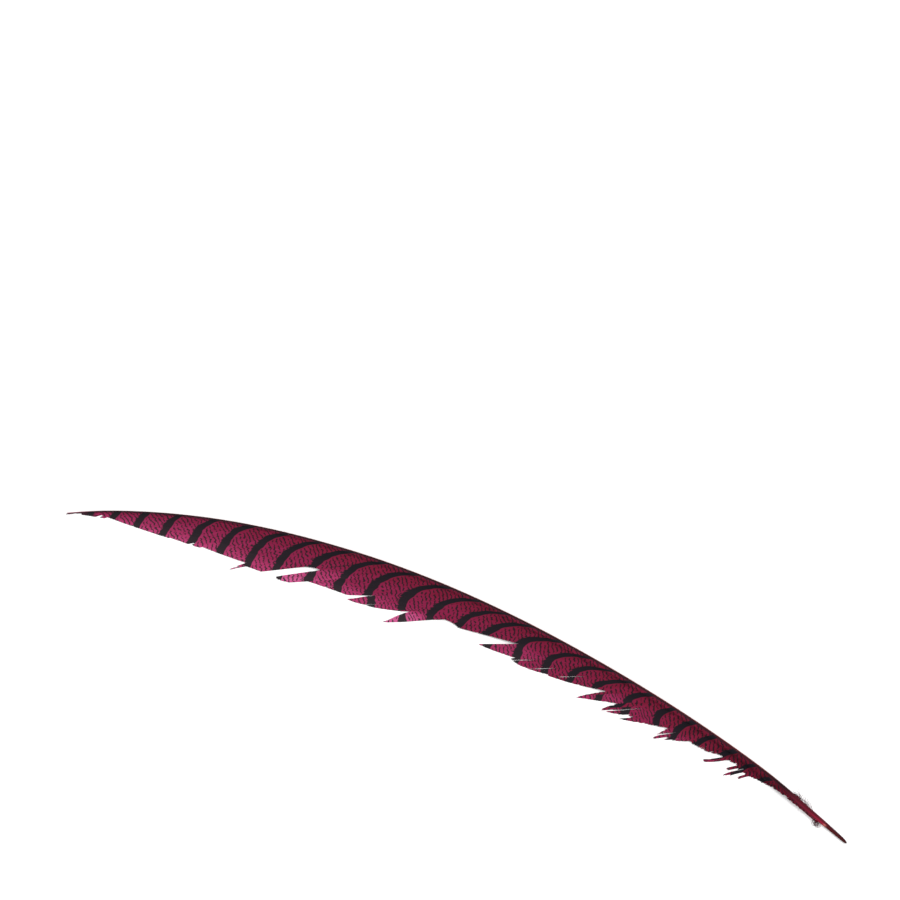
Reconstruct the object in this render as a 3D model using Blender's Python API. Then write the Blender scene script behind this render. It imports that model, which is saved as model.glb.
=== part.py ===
"""A pheasant's tail feather, lying on its side.

The shaft is bowed along its length. The broad near vane hangs on the hollow side of the
bow and slopes down until its worn margin lies flat on the table. The narrow far vane is
folded down under the shaft and stands on its edge. Two small tufts of down sit at the
base. Metres, with +X from the quill's end to the feather's tip and +Z up.
"""

import math

import bmesh
import bpy
import numpy as np
from mathutils import Matrix, Vector

# Driving dimensions, in metres
CHORD = 0.560  # straight line from the quill's end to the tip
BOW = 0.0526  # how far the shaft bows away from that line
BOW_SKEW, BOW_FULLNESS = 0.354, 0.855  # the bow is fuller towards the tip
QUILL_BEND = 0.0014  # the bare quill bends back a little, most of all at QUILL_BEND_AT
QUILL_BEND_AT, QUILL_BEND_SPREAD = 0.030, 0.025
FRAME_Y = 0.0266  # puts the middle of the outline on Y = 0

QUILL_HEIGHT, TIP_HEIGHT = 0.0011, 0.0009  # the shaft's centre over the table, at its ends
ARCH, ARCH_POWER = 0.0078, 1.2  # extra height in the middle of the shaft

VANE_THICKNESS = 0.0005
LAND = 0.007  # how much of the near vane's margin lies flat on the table
VANE_SAG = 1.5  # the vane falls steeply by the shaft and flattens out further away
GAP = 0.0003  # clearance between touching pieces

SHAFT_BEVEL = 3  # gives the shaft ten sides
SHAFT_STATIONS = 64
STATION_CROWDING = 1.35  # stations crowd together at the quill, where the radius changes fastest
BARB_STEP = 0.006  # widest spacing of the barb lines that the vanes are laid on
NEAR_ROWS, FAR_ROWS = 7, 4
SHORTEST_BARB = 0.0015
FAR_TUCK = math.radians(14)  # the far vane leans in under the near one
FAR_START, FAR_END = 0.060, 0.535  # where the far vane begins and ends along the shaft

# Shaft radius along its length: (distance from the quill's end, radius)
SHAFT_RADII = [
    (0.000, 0.0006),
    (0.004, 0.0010),
    (0.012, 0.0014),
    (0.022, 0.0017),
    (0.040, 0.0019),
    (0.060, 0.0018),
    (0.090, 0.0016),
    (0.150, 0.0014),
    (0.250, 0.0012),
    (0.350, 0.0010),
    (0.450, 0.0007),
    (0.530, 0.0004),
    (0.575, 0.0002),
]

# The tufts of down: (node, distance along the shaft, side, reach from the shaft's centre,
# half of the length, half of the height)
DOWN_TUFTS = [
    ("near_down", 0.022, 1, 0.0055, 0.0045, 0.0012),
    ("far_down", 0.040, -1, 0.0085, 0.0075, 0.0014),
]

# Angle between a barb and the shaft in degrees, at its root and near its tip, at shares of
# the shaft's length
ROOT_ANGLES = [(0.0, 62), (0.15, 58), (0.3, 50), (0.5, 42), (0.8, 36), (0.93, 30), (1.0, 16)]
TIP_ANGLES = [(0.0, 52), (0.15, 44), (0.3, 34), (0.45, 27), (0.6, 25), (0.8, 24), (0.93, 18), (1.0, 8)]
BARB_BEND = 0.009  # distance along a barb over which it turns from one to the other

# The unworn width of the near vane across the shaft, at shares of the shaft's length
FULL_WIDTHS = [
    (0.0, 0.003),
    (0.12, 0.010),
    (0.20, 0.024),
    (0.40, 0.030),
    (0.60, 0.036),
    (0.68, 0.034),
    (0.80, 0.025),
    (0.90, 0.014),
    (0.95, 0.006),
    (1.0, 0.002),
]

# Length of the near vane's barbs by where they root, in millimetres from the quill's end.
# A sudden step is a split: the barbs on one side have parted, worn or broken short.
WORN_BARBS_MM = [
    (26, 3),
    (49, 4),
    (61, 5),
    (68, 12),
    (71.5, 18),
    (73, 12),
    (75.2, 25),
    (77, 12.5),
    (80, 17),
    (86, 11),
    (87.5, 27),
    (89, 11.5),
    (93, 17.5),
    (104, 21),
    (111, 18),
    (113.5, 35),
    (119, 35.5),
    (124.5, 17.5),
    (130, 27),
    (130.6, 35.5),
    (139.5, 40.5),
    (142, 32),
    (151.5, 43),
    (156, 30),
    (165, 46.5),
    (168, 21.5),
    (177, 28.5),
    (186, 40.5),
    (194.5, 42.5),
    (199.5, 51.5),
    (211.5, 54.5),
    (213.5, 46),
    (218, 51),
    (231.5, 55.5),
    (232.5, 25),
    (245, 40.5),
    (256, 46),
    (263, 41.5),
    (264, 78),
    (268, 86),
    (280, 53),
    (283, 65),
    (287, 74),
    (302.5, 78.5),
    (308.5, 53),
    (311, 53),
    (312, 73),
    (322, 68.5),
    (327, 71.5),
    (340, 70),
    (342, 80),
    (356, 80),
    (361, 41),
    (369, 43),
    (370, 76),
    (377, 72),
    (393, 61),
    (398, 59.5),
    (433, 49),
    (470, 39.5),
    (489, 31),
    (505, 25.5),
    (527, 14),
    (541, 12),
    (558, 7),
    (572, 1.5),
]


# ---------------------------------------------------------------- geometry of the feather
def between(points, at):
    """A smooth curve through (place, value) points, read at one place."""
    places, values = np.array(points, float).T
    slopes = np.gradient(values, places)
    i = int(np.clip(np.searchsorted(places, at) - 1, 0, len(places) - 2))
    step = places[i + 1] - places[i]
    t = min(max((at - places[i]) / step, 0.0), 1.0)
    return float(
        (2 * t**3 - 3 * t**2 + 1) * values[i]
        + (t**3 - 2 * t**2 + t) * step * slopes[i]
        + (3 * t**2 - 2 * t**3) * values[i + 1]
        + (t**3 - t**2) * step * slopes[i + 1]
    )


def bow(share):
    """Sideways place of the shaft, at a share of the chord."""
    off_middle = share - 0.5
    fuller = 1 + BOW_SKEW * off_middle + BOW_FULLNESS * off_middle**2
    bend = QUILL_BEND * np.exp(-(((CHORD * share - QUILL_BEND_AT) / QUILL_BEND_SPREAD) ** 2))
    return bend - 4 * BOW * share * (1 - share) * fuller


SHARES = np.linspace(0, 1, 1201)
LINE = np.stack([CHORD * SHARES, bow(SHARES)], axis=1)
ALONG = np.concatenate([[0], np.cumsum(np.linalg.norm(np.diff(LINE, axis=0), axis=1))])
SHAFT_LENGTH = float(ALONG[-1])


def shaft_point(along):
    """Centre of the shaft at a distance from the quill's end, as X, Y and height."""
    share = float(np.interp(along, ALONG, SHARES))
    ends = QUILL_HEIGHT + (TIP_HEIGHT - QUILL_HEIGHT) * share
    arch = ARCH * math.sin(math.pi * share) ** ARCH_POWER if 0 < share < 1 else 0.0
    return Vector((CHORD * share - CHORD / 2, float(bow(share)) + FRAME_Y, ends + arch))


def shaft_heading(along):
    """Direction of the shaft on the table, as an angle from +X."""
    ahead = shaft_point(min(along + 0.001, SHAFT_LENGTH))
    behind = shaft_point(max(along - 0.001, 0.0))
    return math.atan2(ahead.y - behind.y, ahead.x - behind.x)


def shaft_radius(along):
    return between(SHAFT_RADII, along)


def barb_path(root, length):
    """A barb in fine steps: distance along it, distance towards the tip, distance across."""
    share = root / SHAFT_LENGTH
    at_root = math.radians(between(ROOT_ANGLES, share))
    at_tip = math.radians(between(TIP_ANGLES, share))
    along = np.linspace(0, length, 161)
    angle = at_tip + (at_root - at_tip) * np.exp(-along / BARB_BEND)
    middle = (angle[1:] + angle[:-1]) / 2
    forward = np.concatenate([[0], np.cumsum(np.cos(middle) * along[1])])
    across = np.concatenate([[0], np.cumsum(np.sin(middle) * along[1])])
    return along, forward, across


def slope_left(place, across):
    """How much of the near vane's slope is left: 1 at the shaft, 0 where it meets the table."""
    slope_width = between(FULL_WIDTHS, min(place / SHAFT_LENGTH, 1.0)) - LAND
    return max(0.0, 1 - across / max(slope_width, 0.001))


def worn_length(root):
    places, lengths = np.array(WORN_BARBS_MM, float).T / 1000
    return float(np.interp(root, places, lengths))


# ---------------------------------------------------------------------- shared helpers
def new_material(name, colour, roughness):
    material = bpy.data.materials.new(name)
    material.use_nodes = True
    shader = material.node_tree.nodes["Principled BSDF"]
    shader.inputs["Base Color"].default_value = (*colour, 1.0)
    shader.inputs["Roughness"].default_value = roughness
    shader.inputs["Metallic"].default_value = 0.0
    return material


def add_piece(name, bm, material):
    """Turns a closed bmesh into a named object."""
    bmesh.ops.recalc_face_normals(bm, faces=bm.faces)
    mesh = bpy.data.meshes.new(name)
    bm.to_mesh(mesh)
    bm.free()
    mesh.materials.append(material)
    mesh.shade_smooth()
    mesh.set_sharp_from_angle(angle=math.radians(40))
    piece = bpy.data.objects.new(name, mesh)
    bpy.context.scene.collection.objects.link(piece)
    return piece


def laid_sheet(columns):
    """A grid with each of its vertices laid on the point of its column and row."""
    across, rows = len(columns), len(columns[0])
    bm = bmesh.new()
    bmesh.ops.create_grid(bm, x_segments=across - 1, y_segments=rows - 1, size=1.0)
    for vertex in bm.verts:
        column = round((vertex.co.x + 1) / 2 * (across - 1))
        row = round((vertex.co.y + 1) / 2 * (rows - 1))
        vertex.co = columns[column][row]
    return bm


def thicken(bm, offset):
    """Extrudes the whole sheet by an offset, which closes it."""
    made = bmesh.ops.extrude_face_region(bm, geom=bm.faces[:])["geom"]
    moved = [part for part in made if isinstance(part, bmesh.types.BMVert)]
    bmesh.ops.translate(bm, vec=offset, verts=moved)


# ------------------------------------------------------------------------------- pieces
def make_shaft():
    """Calamus and rachis, one horn rod that tapers from the quill to the tip."""
    curve = bpy.data.curves.new("shaft", "CURVE")
    curve.dimensions = "3D"
    curve.bevel_depth = 1.0
    curve.bevel_resolution = SHAFT_BEVEL
    curve.use_fill_caps = True
    spline = curve.splines.new("POLY")
    spline.points.add(SHAFT_STATIONS - 1)
    for i, point in enumerate(spline.points):
        along = SHAFT_LENGTH * (i / (SHAFT_STATIONS - 1)) ** STATION_CROWDING
        point.co = (*shaft_point(along), 1.0)
        point.radius = shaft_radius(along)
    curve.materials.append(new_material("horn_shaft", (0.10, 0.012, 0.022), 0.35))
    shaft = bpy.data.objects.new("shaft", curve)
    bpy.context.scene.collection.objects.link(shaft)
    return shaft


def near_column(root):
    """One barb of the near vane, as points from beside the shaft to its worn tip."""
    inner = shaft_radius(root) + GAP
    length = max(worn_length(root), inner + SHORTEST_BARB)
    centre, heading = shaft_point(root), shaft_heading(root)
    along, forward, across = barb_path(root, length)
    start = float(np.interp(inner, across, along))
    flat = [a for a, f, c in zip(along, forward, across) if slope_left(root + f, c) == 0]
    last_but_one = start + (length - start) * (NEAR_ROWS - 2) / (NEAR_ROWS - 1)
    land = min(flat[0], last_but_one) if flat else last_but_one
    points = []
    for place in [*np.linspace(start, land, NEAR_ROWS - 1), length]:
        f, c = float(np.interp(place, along, forward)), float(np.interp(place, along, across))
        x = centre.x + f * math.cos(heading) - c * math.sin(heading)
        y = centre.y + f * math.sin(heading) + c * math.cos(heading)
        fall = slope_left(root + f, c) ** VANE_SAG
        points.append(Vector((x, y, VANE_THICKNESS + (centre.z - VANE_THICKNESS / 2) * fall)))
    return points


def near_roots():
    """Where the near vane's barb lines root: every corner of the worn margin, and between."""
    corners = [place / 1000 for place, _ in WORN_BARBS_MM]
    roots = [corners[0]]
    for low, high in zip(corners, corners[1:]):
        count = max(1, math.ceil((high - low) / BARB_STEP))
        roots += [low + (high - low) * (k + 1) / count for k in range(count)]
    return roots


def make_near_vane():
    bm = laid_sheet([near_column(root) for root in near_roots()])
    thicken(bm, Vector((0, 0, -VANE_THICKNESS)))
    return add_piece("near_vane", bm, new_material("dyed_web", (0.27, 0.012, 0.065), 0.6))


def far_column(root):
    """One barb of the far vane, which leans towards the tip on its way down to the table."""
    drop = shaft_point(root).z - shaft_radius(root) - GAP
    lean = drop / math.tan(math.radians(between(TIP_ANGLES, root / SHAFT_LENGTH)))
    points = []
    for row in range(FAR_ROWS):
        share = row / (FAR_ROWS - 1)
        place = min(root + lean * share, SHAFT_LENGTH)
        above, heading = shaft_point(place), shaft_heading(place)
        tuck = drop * share * math.tan(FAR_TUCK)
        x = above.x - tuck * math.sin(heading)
        y = above.y + tuck * math.cos(heading)
        points.append(Vector((x, y, (above.z - shaft_radius(place) - GAP) * (1 - share))))
    return points


def make_far_vane():
    count = math.ceil((FAR_END - FAR_START) / BARB_STEP)
    roots = [FAR_START + (FAR_END - FAR_START) * k / count for k in range(count + 1)]
    bm = laid_sheet([far_column(root) for root in roots])
    thicken(bm, Vector((0, -VANE_THICKNESS, 0)))
    return add_piece("far_vane", bm, new_material("dyed_web_far", (0.16, 0.010, 0.035), 0.6))


def make_down(name, along, side, reach, half_length, half_height, material):
    """A soft tuft of down that rests on the table beside the shaft, as one closed lens."""
    inner = shaft_radius(along) + GAP
    half_width = (reach - inner) / 2
    place = Matrix.Translation(shaft_point(along).xy.to_3d())
    turn = Matrix.Rotation(shaft_heading(along), 4, "Z")
    beside = Matrix.Translation((0, side * (inner + half_width), half_height))
    size = Matrix.Diagonal((half_length, half_width, half_height, 1))
    bm = bmesh.new()
    bmesh.ops.create_uvsphere(
        bm, u_segments=14, v_segments=8, radius=1.0, matrix=place @ turn @ beside @ size
    )
    return add_piece(name, bm, material)


def main():
    for old in list(bpy.data.objects):
        bpy.data.objects.remove(old, do_unlink=True)
    make_shaft()
    make_near_vane()
    make_far_vane()
    down = new_material("dyed_down", (0.12, 0.012, 0.03), 0.8)
    for tuft in DOWN_TUFTS:
        make_down(*tuft, down)


main()
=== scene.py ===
# %% [markdown]
# # A dyed pheasant tail feather
# A feather is one grown thing: a horn shaft that gives off two webs, each made of hundreds of
# barbs that hook together edge to edge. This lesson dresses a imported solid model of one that
# lies on a table. The solids give the size and place, and finer meshes take over their looks.

# %% Load the solid model
import math

import bmesh
import bpy
import numpy as np
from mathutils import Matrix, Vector


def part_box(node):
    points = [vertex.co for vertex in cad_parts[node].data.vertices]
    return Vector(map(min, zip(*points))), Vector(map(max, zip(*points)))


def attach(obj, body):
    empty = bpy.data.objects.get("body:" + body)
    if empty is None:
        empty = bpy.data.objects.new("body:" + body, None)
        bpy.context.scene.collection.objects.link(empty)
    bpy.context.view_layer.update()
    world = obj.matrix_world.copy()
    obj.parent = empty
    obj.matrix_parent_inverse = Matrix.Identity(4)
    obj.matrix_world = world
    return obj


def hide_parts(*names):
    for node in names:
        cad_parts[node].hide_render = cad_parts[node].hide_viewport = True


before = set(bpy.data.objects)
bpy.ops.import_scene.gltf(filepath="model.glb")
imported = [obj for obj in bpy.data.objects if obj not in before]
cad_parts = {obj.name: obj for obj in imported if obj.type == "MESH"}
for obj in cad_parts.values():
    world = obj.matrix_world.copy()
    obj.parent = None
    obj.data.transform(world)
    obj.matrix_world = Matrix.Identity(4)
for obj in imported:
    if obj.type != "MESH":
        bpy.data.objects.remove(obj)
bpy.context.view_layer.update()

print("solids:", sorted(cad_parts))

# %% [markdown]
# ## Curves through a few points
# The shaft's line, its thickness and the angle of the barbs change slowly along the feather.
# A short list of places and values is easy to read and to change, and one smooth curve
# through them gives every value between.

# %% A smooth curve, and an eased step
def between(points, at):
    """A smooth curve through (place, value) points, read at an array of places."""
    places, values = np.array(points, float).T
    slopes = np.gradient(values, places)
    i = np.clip(np.searchsorted(places, at) - 1, 0, len(places) - 2)
    step = places[i + 1] - places[i]
    t = np.clip((at - places[i]) / step, 0, 1)
    return (
        (2 * t**3 - 3 * t**2 + 1) * values[i]
        + (t**3 - 2 * t**2 + t) * step * slopes[i]
        + (3 * t**2 - 2 * t**3) * values[i + 1]
        + (t**3 - t**2) * step * slopes[i + 1]
    )


def eased(value, start, end):
    """0 before start, 1 after end, and a smooth rise between."""
    t = np.clip((value - start) / (end - start), 0, 1)
    return t * t * (3 - 2 * t)


print("halfway from 2 to 6:", between([(0, 2), (1, 6)], np.array([0.5])))
print("a quarter, eased:", eased(0.25, 0, 1))

# %% [markdown]
# ## The line of the shaft
# The shaft bows sideways like a sickle, more so towards its tip, and it rises a little over
# the table in the middle. One formula gives both, the same one that the solid shaft was made
# with, so everything that grows from the shaft finds its place by a distance along it. A
# grown shaft isn't as even as a formula, so a short list adds how far it wanders sideways,
# which is less than a millimetre. The printed gaps run from this line to the edge of the
# solid's box, so they should be no larger than the shaft's radius.

# %% The shaft's centre line
MM = 0.001
CHORD = 560 * MM
BOW, BOW_SKEW, BOW_FULLNESS = 52.6 * MM, 0.354, 0.855
QUILL_BEND, QUILL_BEND_AT, QUILL_BEND_SPREAD = 1.4 * MM, 30 * MM, 25 * MM
FRAME_Y = 26.6 * MM
QUILL_HEIGHT, TIP_HEIGHT, ARCH, ARCH_POWER = 1.1 * MM, 0.9 * MM, 7.8 * MM, 1.2
WANDER_MM = [
    (0, 0), (25, 0), (80, 0.8), (110, 0.95), (195, 0.7), (255, 0.12), (315, -0.08), (345, 0.05),
    (398, 0.6), (440, 0.75), (510, 0.55), (545, 0), (560, 0),
]

shares = np.linspace(0, 1, 4001)
off_middle = shares - 0.5
line_x = CHORD * off_middle
line_y = FRAME_Y - 4 * BOW * shares * (1 - shares) * (
    1 + BOW_SKEW * off_middle + BOW_FULLNESS * off_middle**2
)
line_y += QUILL_BEND * np.exp(-(((CHORD * shares - QUILL_BEND_AT) / QUILL_BEND_SPREAD) ** 2))
line_y += between(WANDER_MM, CHORD * shares / MM) * MM
line_z = QUILL_HEIGHT + (TIP_HEIGHT - QUILL_HEIGHT) * shares
line_z += ARCH * np.clip(np.sin(np.pi * shares), 0, 1) ** ARCH_POWER
line_along = np.concatenate([[0], np.cumsum(np.hypot(np.diff(line_x), np.diff(line_y)))])
LENGTH = line_along[-1]


def shaft_at(along):
    """Centre of the shaft, as arrays of x, y and z, at distances from the quill's end."""
    return [np.interp(along, line_along, values) for values in (line_x, line_y, line_z)]


def shaft_heading(along):
    """Which way the shaft points on the table, as an angle from +X."""
    x, y, _ = shaft_at(np.clip(np.stack([along - MM, along + MM]), 0, LENGTH))
    return np.arctan2(y[1] - y[0], x[1] - x[0])


low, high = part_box("shaft")
print("along the shaft:", round(LENGTH / MM, 1), "mm")
print("gaps to the solid in mm:", round((low.x - line_x[0]) / MM, 2), round((low.y - line_y.min()) / MM, 2))

# %% [markdown]
# ## How thick the shaft is
# The quill's end is blunt, the shaft is thickest where the webs begin, and from there it
# thins all the way to the tip.

# %% The shaft's thickness
SHAFT_RADII_MM = [
    (0, 0.85), (4, 1.15), (12, 1.4), (22, 1.7), (40, 1.9), (60, 1.8), (90, 1.6),
    (150, 1.4), (250, 1.2), (350, 1.0), (450, 0.7), (530, 0.4), (575, 0.2),
]


def shaft_radius(along):
    return between(SHAFT_RADII_MM, along / MM) * MM


print("shaft thickness in mm at 25, 250 and 500:", 2 * shaft_radius(np.array([0.025, 0.25, 0.5])) / MM)

# %% [markdown]
# ## How a barb runs
# A barb leaves the shaft at a wide angle and turns towards the tip within its first
# centimetre. Near the quill barbs stand off at 60 degrees, and near the tip they almost
# follow the shaft. The path is summed in small steps on a straightened feather: how far the
# barb has come towards the tip, and how far across. Those two numbers later place the
# pattern, because the bars were grown into the straight feather.

# %% Barb paths on the straightened feather
ROOT_ANGLES = [(0, 62), (0.15, 58), (0.3, 50), (0.5, 42), (0.8, 36), (0.93, 30), (1, 16)]
TIP_ANGLES = [(0, 52), (0.15, 44), (0.3, 34), (0.45, 27), (0.6, 25), (0.8, 24), (0.93, 18), (1, 8)]
BARB_BEND = 9 * MM
STEPS = 120


def barb_paths(roots, lengths, ring_shares, turned=None):
    """Arrays (barb, ring): distance along it, forward, across, and its angle to the shaft."""
    at_root = np.radians(between(ROOT_ANGLES, roots / LENGTH))[:, None]
    at_tip = np.radians(between(TIP_ANGLES, roots / LENGTH))[:, None]
    along = lengths[:, None] * np.linspace(0, 1, STEPS + 1)
    angle = at_tip + (at_root - at_tip) * np.exp(-along / BARB_BEND)
    if turned is not None:
        angle = angle + turned(roots, along)
    middle = (angle[:, 1:] + angle[:, :-1]) / 2
    step = along[:, 1:2]
    none = np.zeros((len(roots), 1))
    forward = np.concatenate([none, np.cumsum(np.cos(middle) * step, axis=1)], axis=1)
    across = np.concatenate([none, np.cumsum(np.sin(middle) * step, axis=1)], axis=1)
    ring = np.round(np.asarray(ring_shares) * STEPS).astype(int)
    return along[:, ring], forward[:, ring], across[:, ring], angle[:, ring]


forward, across = barb_paths(np.array([0.3]), np.array([0.07]), [0, 1])[1:3]
print("a 70 mm barb reaches", round(forward[0, 1] / MM), "mm on and", round(across[0, 1] / MM), "mm out")

# %% [markdown]
# ## The strand that everything is made of
# A barb is a thin blade with a ridge down its middle. One strand is drawn once, as a
# four-sided ring that is extruded ring by ring, and copied as often as there are barbs.
# Each copy's rings are then laid along its own path. That keeps every barb a closed mesh with
# few faces, and no solid has to be cut.

# %% One strand, and many
def strand_template(rings, sides):
    """A closed prism of unit rings, one unit apart along +Z."""
    bm = bmesh.new()
    bmesh.ops.create_circle(bm, cap_ends=True, segments=sides, radius=1.0)
    end = bm.faces[:]
    for _ in range(rings - 1):
        made = bmesh.ops.extrude_face_region(bm, geom=end)["geom"]
        end = [part for part in made if isinstance(part, bmesh.types.BMFace)]
        moved = [part for part in made if isinstance(part, bmesh.types.BMVert)]
        bmesh.ops.translate(bm, vec=Vector((0, 0, 1)), verts=moved)
    bmesh.ops.recalc_face_normals(bm, faces=bm.faces)
    mesh = bpy.data.meshes.new("strand")
    bm.to_mesh(mesh)
    bm.free()
    return mesh


def many_strands(name, centre, side, up, half_width, half_height, sides=4):
    """Lays a copy of the strand on each path. The first five arrays run (strand, ring, ...)."""
    count, rings = centre.shape[:2]
    template = strand_template(rings, sides)
    bm = bmesh.new()
    for _ in range(count):
        bm.from_mesh(template)
    mesh = bpy.data.meshes.new(name)
    bm.to_mesh(mesh)
    bm.free()
    unit = np.array([vertex.co for vertex in template.vertices])
    bpy.data.meshes.remove(template)
    ring = np.round(unit[:, 2]).astype(int)
    laid = centre[:, ring] + side[:, ring] * (half_width[:, ring] * unit[:, 0])[..., None]
    laid = laid + up[:, ring] * (half_height[:, ring] * unit[:, 1])[..., None]
    mesh.vertices.foreach_set("co", laid.astype(np.float32).ravel())
    mesh.shade_smooth()
    mesh.set_sharp_from_angle(angle=math.radians(70))
    mesh.update()
    piece = bpy.data.objects.new(name, mesh)
    bpy.context.scene.collection.objects.link(piece)
    triangles = sum(len(face.vertices) - 2 for face in mesh.polygons)
    print(name, "has", count, "strands and", triangles, "triangles")
    return piece, ring, unit


def note(piece, name, values):
    """Stores one number for each vertex of a piece, for its material to read."""
    kind = "FLOAT_VECTOR" if values.shape[-1] == 3 and values.ndim > 2 else "FLOAT"
    field = "vector" if kind == "FLOAT_VECTOR" else "value"
    layer = piece.data.attributes.new(name, kind, "POINT")
    layer.data.foreach_set(field, values.astype(np.float32).ravel())


def frames_along(centre, lean):
    """The directions across and up from each ring of a path. lean tips the blade on its side."""
    forward = np.gradient(centre, axis=1)
    forward /= np.linalg.norm(forward, axis=-1, keepdims=True)
    side = np.cross(np.array([0.0, 0.0, 1.0]), forward)
    side /= np.linalg.norm(side, axis=-1, keepdims=True)
    up = np.cross(forward, side)
    cos, sin = np.cos(lean)[..., None], np.sin(lean)[..., None]
    return side * cos + up * sin, up * cos - side * sin


# %% [markdown]
# ## The worn margin of the near web
# The broad web is no longer whole. Barbs have unhooked and parted in long splits, locks of
# them have come to a point, and near the quill many have broken off short. A list of the locks
# draws all of that: where one lock's last barb is much longer or shorter than the next one's
# first, there is a split. A little seeded chance makes the edge ragged, most at the quill end.

# %% Barb lengths
WORN_LOCKS_MM = [  # grows from, to, length of its first barb, of its last, and its swell between
    (23, 53, 3, 5, 0), (53, 70.2, 5, 11, 0), (70.2, 72.5, 18.5, 17.5, 0), (72.5, 74.8, 11.5, 12, 0),
    (74.8, 77.1, 20, 23.5, 0), (77.1, 79.4, 12, 12.5, 0), (79.4, 81.4, 18, 17.5, 0),
    (81.4, 88.2, 9, 11.5, 0), (88.2, 91.6, 25, 21.5, 3), (91.6, 96, 11, 12, 0), (96, 110, 14, 18, 1),
    (110, 116.5, 16, 33, 0), (116.5, 118.4, 28, 28, 0), (118.4, 126.5, 36, 18.5, 2),
    (126.5, 140.5, 18.5, 40.5, 0), (140.5, 144, 32, 31, 0), (144, 149, 34, 42, 1), (149, 150.5, 36, 36, 0),
    (150.5, 156.5, 43.5, 26.5, 3), (156.5, 165.5, 27, 47, 0), (165.5, 171, 47, 21, 4),
    (171, 192.5, 22, 44, 3), (192.5, 213.5, 42, 49, 5), (213.5, 232, 45.5, 54.5, 1.5),
    (232, 256, 26.5, 47.5, 1), (256, 268.2, 47, 45, -1.5), (268.2, 281.2, 86.5, 55.5, 1),
    (281.2, 292, 61, 75, 3), (292, 305.5, 74, 76, 2), (305.5, 309.3, 72, 57, 0), (309.3, 312, 57, 68.5, 0),
    (312, 342.4, 69.5, 68, 0), (342.4, 357.5, 79.5, 74.5, 3), (357.5, 361.2, 73, 41, 4),
    (361.2, 371.4, 41.5, 43.5, -2), (371.4, 386.8, 72, 67.5, 0), (386.8, 388.2, 77, 77.5, 0),
    (388.2, 393, 72, 61, 2), (393, 437.5, 61.5, 47.5, 1), (437.5, 447.6, 49.5, 45, 1),
    (447.6, 448.6, 43, 43, 0), (448.6, 468, 46.5, 39.5, 0), (468, 537.5, 40.5, 11, 1),
    (537.5, 541.6, 13, 12, 0), (541.6, 544.5, 9, 7.5, 0), (544.5, 558, 11.5, 7, 0),
    (558, 566.5, 6.5, 2, -1), (566.5, 575, 4, 1.5, 0),
]
rng = np.random.default_rng(7)
NEAR_SPACING = 0.62 * MM


def worn_lengths(roots):
    lengths = np.zeros_like(roots)
    for first, last, at_first, at_last, swell in WORN_LOCKS_MM:
        share = (roots / MM - first) / (last - first)
        length = at_first + (at_last - at_first) * share + swell * 4 * share * (1 - share)
        lengths = np.where((share >= 0) & (share < 1), length * MM, lengths)
    return lengths


near_roots = np.arange(23 * MM, LENGTH - 0.6 * MM, NEAR_SPACING)
raggedness = (0.3 + 1.1 * (1 - eased(near_roots, 0.06, 0.26))) * MM
near_lengths = worn_lengths(near_roots) - raggedness * rng.exponential(0.5, len(near_roots))
near_lengths = np.maximum(near_lengths, shaft_radius(near_roots) + 0.8 * MM)
print(len(near_roots), "near barbs, the longest", round(near_lengths.max() / MM), "mm")

# %% [markdown]
# ## How the near web hangs
# The web slopes down from the shaft and its outer band lies on the table. Its width before it
# was worn sets how quickly it falls, so a broken barb ends in the air where a whole one
# would go on down. The solid web slopes in the same way where it is wide, and more steeply
# where it is narrow. Half of its sheet's thickness is the height of the lowest barbs.

# %% The slope of the near web
FULL_WIDTHS_MM = [  # by the share of the shaft's length
    (0, 3), (0.12, 10), (0.2, 24), (0.4, 30), (0.6, 36), (0.68, 34), (0.8, 25), (0.9, 14), (0.95, 6), (1, 2),
]
LAND, SHEET, SAG = 7 * MM, 0.5 * MM, 1.5
LEAST_SLOPE = 2 * MM  # where the web is narrow, half of it and this much more slopes


def full_width(along):
    return between(FULL_WIDTHS_MM, np.clip(along / LENGTH, 0, 1)) * MM


def near_height(along, across, root_height):
    width = full_width(along)
    slope_width = np.maximum(width - LAND, 0.5 * width + LEAST_SLOPE)
    left = np.clip(1 - across / slope_width, 0, 1)
    return SHEET / 2 + (root_height - SHEET / 2) * left**SAG


print("the web is", round(full_width(0.34) / MM, 1), "mm wide at its widest")

# %% [markdown]
# ## Splits, and where the bars fall
# Where neighbours have unhooked, only their bare ridges are left and the table shows between
# them: such a barb narrows for a stretch. In an opened lock the barbs lean away, which drags
# their share of each bar along, mostly back towards the quill, and lets more light through
# the web. The bars themselves are counted: a barb's place on the straight feather, less the
# sweep of the bars, gives a number that is whole close to the middle of each bar.

# %% Slits, locks and bars
SLITS_MM = [  # where the barb grows, then from where to where along it
    (309.4, 48, 63), (294, 61, 75), (253, 50, 58), (211.2, 33, 50), (200.2, 28, 48), (189.7, 18, 39),
    (149.4, 15, 39), (141.5, 25, 39), (446.9, 40, 47), (272.8, 46, 53), (329, 60, 72), (122, 18, 30),
]
OPEN_LOCKS_MM = [  # grows from, to, opens at, how far its bars are dragged, how much lighter it looks
    (342, 361, 30, 3, 0.55), (311, 342, 45, 1.5, 0.35), (283, 309, 40, 5.5, 0.2),
    (268, 281, 44, 7, 0.75), (211.2, 232, 18, 6, 0.45), (194, 211.2, 20, 6, 0.15),
    (176, 194, 14, 4, 0.1), (156.4, 168, 10, 10, 0.55), (130.2, 152.2, 8, 9, 0.3),
    (112, 126, 10, 4, 0.5), (88.2, 91.8, 8, -14, 0.4), (69.8, 81.6, 9, 0, 0.6),
]
LOCK_OPENS_OVER = 30 * MM
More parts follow.
